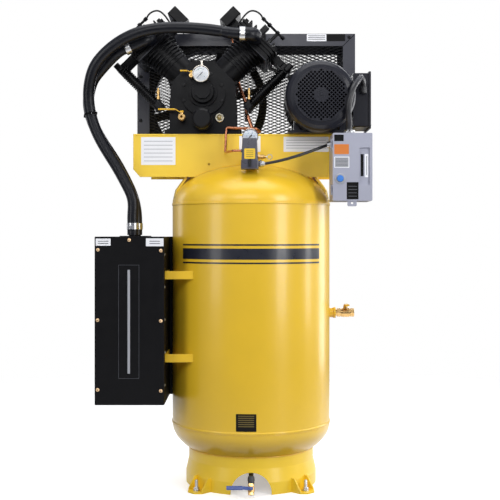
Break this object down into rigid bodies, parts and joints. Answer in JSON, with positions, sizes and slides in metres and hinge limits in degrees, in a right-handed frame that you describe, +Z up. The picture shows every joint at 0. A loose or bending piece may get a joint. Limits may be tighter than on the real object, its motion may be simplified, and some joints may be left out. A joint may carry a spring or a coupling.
{
  "type": "vertical tank compressor",
  "caption": "Upright air receiver on a ring skirt, with a belt-driven V piston pump, electric motor, guard, starter and boxed intake silencer.",
  "frame": {"origin": "on the floor plane, on the tank axis, at the centre of the four anchor holes", "axes": "+Z up along the tank axis, +X to the right of the front view (outlet valve side), +Y to the back (belt guard side)"},
  "size_m": [1.0993, 0.641, 1.8456],
  "materials": {
    "yellow_paint": "semi-gloss powder coat",
    "pump_black": "semi-gloss",
    "silencer_black": "fine texture matte",
    "guard_grey": "satin",
    "guard_mesh": "satin",
    "motor_grey": "satin",
    "starter_grey": "satin",
    "cast_black": "painted casting",
    "hose_rubber": "satin",
    "zinc": "zinc plated",
    "steel": "machined",
    "bearing_steel": "ground",
    "aluminium": "cast",
    "brass": "satin",
    "copper": "drawn tube",
    "belt_rubber": "fabric faced",
    "gauge_case": "polished",
    "needle": "matte",
    "switch_grey": "satin",
    "lever_black": "matte",
    "button_blue": "gloss",
    "contactor": "matte",
    "filter_paper": "pleated",
    "lever_yellow": "dipped",
    "lever_blue": "dipped",
    "sight_glass": "machined",
    "rotor_dark": "matte",
    "pipe_black": "matte"
  },
  "bodies": {
    "frame": {"tank_shell": "yellow_paint", "tank_heads": "yellow_paint", "base_skirt": "yellow_paint", "base_feet": "yellow_paint", "platform": "yellow_paint", "silencer_brackets": "yellow_paint", "silencer_case": "silencer_black", "silencer_cover": "silencer_black", "silencer_screws": "brass", "silencer_filter": "filter_paper", "intake_hoses": "hose_rubber", "intake_elbows": "hose_rubber", "hose_clamps": "zinc", "crankcase": "cast_black", "front_covers": "cast_black", "oil_filter": "pump_black", "sight_glass": "sight_glass", "main_bearings": "bearing_steel", "cylinders": "cast_black", "valve_plates": "steel", "cylinder_heads": "cast_black", "pump_bolts": "pump_black", "intercoolers": "pump_black", "relief_valves": "brass", "discharge_tube": "copper", "unloader_tubes": "pump_black", "gauge_cases": "gauge_case", "motor_frame": "motor_grey", "motor_end_bells": "motor_grey", "motor_fan_cover": "motor_grey", "motor_stator": "steel", "terminal_box": "motor_grey", "v_belts": "belt_rubber", "guard_frames": "guard_grey", "guard_mesh": "guard_mesh", "starter_box": "starter_grey", "contactor": "contactor", "conduits": "pipe_black", "pressure_switch": "switch_grey", "tank_manifold": "brass", "valve_bodies": "brass", "drain_pipe": "pipe_black"},
    "crank": {"crankshaft": "steel", "flywheel": "cast_black"},
    "rotor": {"motor_rotor": "rotor_dark", "motor_sheave": "cast_black"},
    "piston_large_left": {"piston_large_left": "aluminium"},
    "piston_small_left": {"piston_small_left": "aluminium"},
    "piston_large_right": {"piston_large_right": "aluminium"},
    "piston_small_right": {"piston_small_right": "aluminium"},
    "outlet_lever": {"outlet_lever": "lever_yellow"},
    "drain_lever": {"drain_lever": "lever_blue"},
    "oil_drain_lever": {"oil_drain_lever": "lever_yellow"},
    "gauge_cock_lever": {"gauge_cock_lever": "lever_yellow"},
    "switch_lever": {"switch_lever": "lever_black"},
    "safety_pull_ring": {"safety_pull_ring": "zinc"},
    "starter_door": {"starter_door": "starter_grey"},
    "reset_button": {"reset_button": "button_blue"},
    "oil_gauge_needle": {"oil_gauge_needle": "needle"},
    "tank_gauge_needle": {"tank_gauge_needle": "needle"}
  },
  "joints": [
    {"name": "crank_spin", "type": "hinge", "parent": "frame", "child": "crank", "pos_m": [-0.183, 0, 1.492], "axis": [0, 1, 0], "continuous": true},
    {"name": "motor_spin", "type": "hinge", "parent": "frame", "child": "rotor", "pos_m": [0.257, 0, 1.466], "axis": [0, 1, 0], "continuous": true},
    {"name": "piston_large_left_stroke", "type": "slide", "parent": "frame", "child": "piston_large_left", "axis": [-0.7071, 0, 0.7071], "range_m": [-0.0581, 0.01191]},
    {"name": "piston_small_left_stroke", "type": "slide", "parent": "frame", "child": "piston_small_left", "axis": [-0.7071, 0, 0.7071], "range_m": [-0.0086, 0.0614]},
    {"name": "piston_large_right_stroke", "type": "slide", "parent": "frame", "child": "piston_large_right", "axis": [0.7071, 0, 0.7071], "range_m": [-0.0581, 0.01191]},
    {"name": "piston_small_right_stroke", "type": "slide", "parent": "frame", "child": "piston_small_right", "axis": [0.7071, 0, 0.7071], "range_m": [-0.0086, 0.0614]},
    {"name": "outlet_valve_turn", "type": "hinge", "parent": "frame", "child": "outlet_lever", "pos_m": [0.368, 0, 0.649], "axis": [0, 0, 1], "range_deg": [0, 90]},
    {"name": "drain_valve_turn", "type": "hinge", "parent": "frame", "child": "drain_lever", "pos_m": [0, -0.2869, 0.03124], "axis": [0, 0.9103, -0.414], "range_deg": [0, 90]},
    {"name": "oil_drain_turn", "type": "hinge", "parent": "frame", "child": "oil_drain_lever", "pos_m": [-0.262, -0.114, 1.396], "axis": [0, 0, 1], "range_deg": [0, 90]},
    {"name": "gauge_cock_turn", "type": "hinge", "parent": "frame", "child": "gauge_cock_lever", "pos_m": [-0.226, -0.1205, 1.552], "axis": [0, 0, 1], "range_deg": [0, 90]},
    {"name": "switch_toggle", "type": "hinge", "parent": "frame", "child": "switch_lever", "pos_m": [-0.005, -0.26, 1.222], "axis": [0, 1, 0], "range_deg": [-20, 20]},
    {"name": "safety_ring_pull", "type": "slide", "parent": "frame", "child": "safety_pull_ring", "axis": [1, 0, 0], "range_m": [0, 0.005], "stiffness_N_per_m": 2000},
    {"name": "starter_door_swing", "type": "hinge", "parent": "frame", "child": "starter_door", "pos_m": [0.294, -0.239, 1.2], "axis": [0, 0, -1], "range_deg": [0, 110]},
    {"name": "reset_press", "type": "slide", "parent": "starter_door", "child": "reset_button", "axis": [0, 1, 0], "range_m": [0, 0.004], "stiffness_N_per_m": 800},
    {"name": "oil_gauge_sweep", "type": "hinge", "parent": "frame", "child": "oil_gauge_needle", "pos_m": [-0.187, -0.176, 1.552], "axis": [0, 1, 0], "range_deg": [0, 270]},
    {"name": "tank_gauge_sweep", "type": "hinge", "parent": "frame", "child": "tank_gauge_needle", "pos_m": [-0.003, -0.193, 1.316], "axis": [0, 1, 0], "range_deg": [0, 270]}
  ],
  "couplings": [
    {"joint": "motor_spin", "follows": "crank_spin", "ratio": 2.7207}
  ]
}
